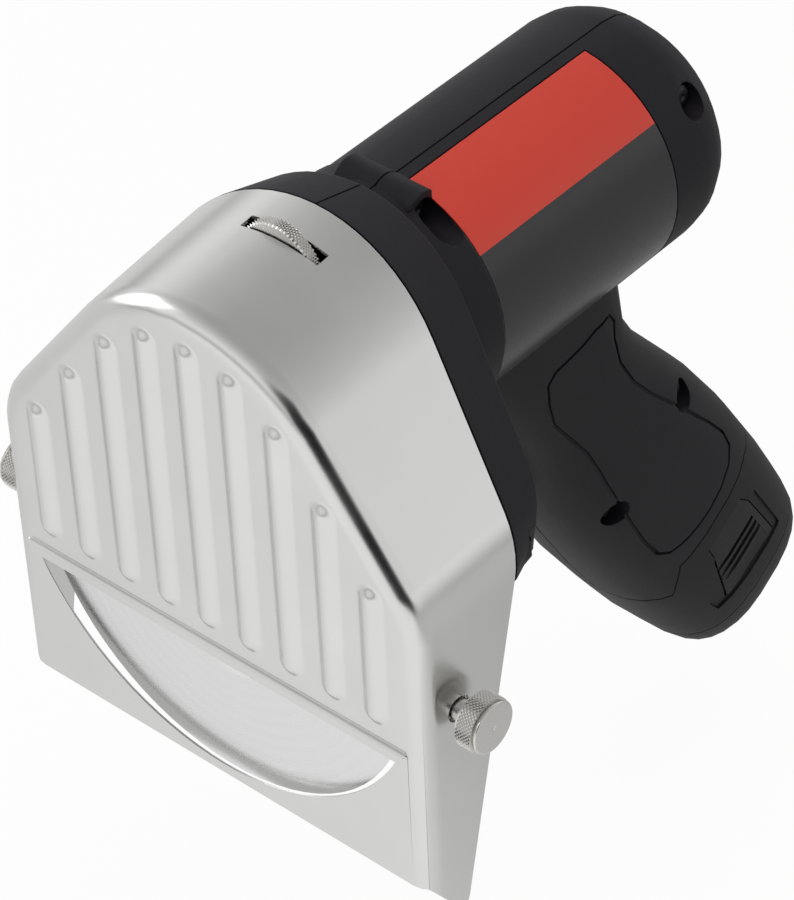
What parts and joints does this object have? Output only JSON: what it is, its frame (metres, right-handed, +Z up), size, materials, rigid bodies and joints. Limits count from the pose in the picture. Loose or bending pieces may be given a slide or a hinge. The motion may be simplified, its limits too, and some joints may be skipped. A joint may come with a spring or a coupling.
{
  "type": "cordless kebab slicer",
  "caption": "Cordless electric slicer with a round blade behind a ribbed steel guard, a motor barrel and a raked pistol grip with a battery pack.",
  "frame": {"origin": "on the blade's axis, in the plane of the crests of the guard's ribs", "axes": "+Y back along the motor barrel, +X to the right seen from the front, +Z up, away from the blade's slot"},
  "size_m": [0.1318, 0.1924, 0.2016],
  "materials": {
    "satin_steel": "satin",
    "polished_steel": "polished",
    "black_plastic": "fine grain",
    "white_nylon": "smooth",
    "cast_alloy": "as cast",
    "motor_case": "plated",
    "cell_sleeve": "shrink sleeve",
    "contact_brass": "plain",
    "circuit_board": "lacquered",
    "label_film": "bare printed film"
  },
  "bodies": {
    "housing": {"housing_left": "black_plastic", "housing_right": "black_plastic", "label_sheet": "label_film", "case_screw_1": "satin_steel", "case_screw_2": "satin_steel", "case_screw_3": "satin_steel", "case_screw_4": "satin_steel", "gearbox_cover": "cast_alloy", "gearbox_cup": "black_plastic", "cover_screw_1": "satin_steel", "cover_screw_2": "satin_steel", "cover_screw_3": "satin_steel", "cover_screw_4": "satin_steel", "guard_bracket": "satin_steel", "bracket_screw_1": "satin_steel", "bracket_screw_2": "satin_steel", "front_bearing": "polished_steel", "rear_bearing": "polished_steel", "motor_can": "motor_case", "motor_end_cap": "black_plastic", "speed_board": "circuit_board", "switch_body": "black_plastic", "contact_block": "contact_brass", "wheel_stud": "satin_steel"},
    "blade": {"circular_blade": "polished_steel", "blade_washer": "satin_steel", "blade_screw": "satin_steel", "blade_shaft": "satin_steel", "drive_gear": "white_nylon"},
    "rotor": {"motor_shaft": "satin_steel", "motor_pinion": "satin_steel"},
    "guard": {"guard_shell": "satin_steel", "clamp_nut_left": "satin_steel", "clamp_nut_right": "satin_steel"},
    "wheel": {"thickness_wheel": "satin_steel"},
    "stud_left": {"thumb_stud_left": "satin_steel"},
    "stud_right": {"thumb_stud_right": "satin_steel"},
    "knob_left": {"thumb_knob_left": "satin_steel"},
    "knob_right": {"thumb_knob_right": "satin_steel"},
    "trigger": {"trigger": "black_plastic"},
    "battery": {"battery_case": "black_plastic", "battery_base": "black_plastic", "battery_cell_1": "cell_sleeve", "battery_cell_2": "cell_sleeve", "battery_cell_3": "cell_sleeve", "battery_cell_4": "cell_sleeve"},
    "button_left": {"release_button_left": "black_plastic"},
    "button_right": {"release_button_right": "black_plastic"}
  },
  "joints": [
    {"name": "blade_spin", "type": "hinge", "parent": "housing", "child": "blade", "pos_m": [0, 0.0043, 0], "axis": [0, 1, 0], "continuous": true},
    {"name": "rotor_spin", "type": "hinge", "parent": "housing", "child": "rotor", "pos_m": [0, 0.0335, 0.042], "axis": [0, 1, 0], "continuous": true},
    {"name": "wheel_turn", "type": "hinge", "parent": "guard", "child": "wheel", "pos_m": [0, 0.0286, 0.0682], "axis": [0, -1, 0], "range_deg": [0, 2880]},
    {"name": "guard_slide", "type": "slide", "parent": "housing", "child": "guard", "axis": [0, -1, 0], "range_m": [0, 0.008]},
    {"name": "knob_turn_left", "type": "hinge", "parent": "stud_left", "child": "knob_left", "pos_m": [-0.0595, 0.0118, -0.0046], "axis": [-1, 0, 0], "range_deg": [0, 1350]},
    {"name": "stud_slide_left", "type": "slide", "parent": "guard", "child": "stud_left", "axis": [-1, 0, 0], "range_m": [0, 0.003]},
    {"name": "knob_turn_right", "type": "hinge", "parent": "stud_right", "child": "knob_right", "pos_m": [0.0615, 0.0118, -0.0046], "axis": [1, 0, 0], "range_deg": [-900, 450]},
    {"name": "stud_slide_right", "type": "slide", "parent": "guard", "child": "stud_right", "axis": [1, 0, 0], "range_m": [-0.002, 0.001]},
    {"name": "trigger_pull", "type": "slide", "parent": "housing", "child": "trigger", "axis": [0, 0.8387, 0.5446], "range_m": [0, 0.006], "stiffness_N_per_m": 600, "springref_m": -0.005},
    {"name": "battery_slide", "type": "slide", "parent": "housing", "child": "battery", "axis": [0, 0.5446, -0.8387], "range_m": [0, 0.045]},
    {"name": "button_press_left", "type": "slide", "parent": "battery", "child": "button_left", "axis": [1, 0, 0], "range_m": [0, 0.0008], "stiffness_N_per_m": 2000, "springref_m": -0.001},
    {"name": "button_press_right", "type": "slide", "parent": "battery", "child": "button_right", "axis": [-1, 0, 0], "range_m": [0, 0.0008], "stiffness_N_per_m": 2000, "springref_m": -0.001}
  ],
  "couplings": [
    {"joint": "rotor_spin", "follows": "blade_spin", "ratio": -5},
    {"joint": "wheel_turn", "follows": "guard_slide", "rad_per_m": 6283.1},
    {"joint": "knob_turn_left", "follows": "stud_slide_left", "rad_per_m": 7853.9},
    {"joint": "knob_turn_right", "follows": "stud_slide_right", "rad_per_m": 7853.9}
  ]
}
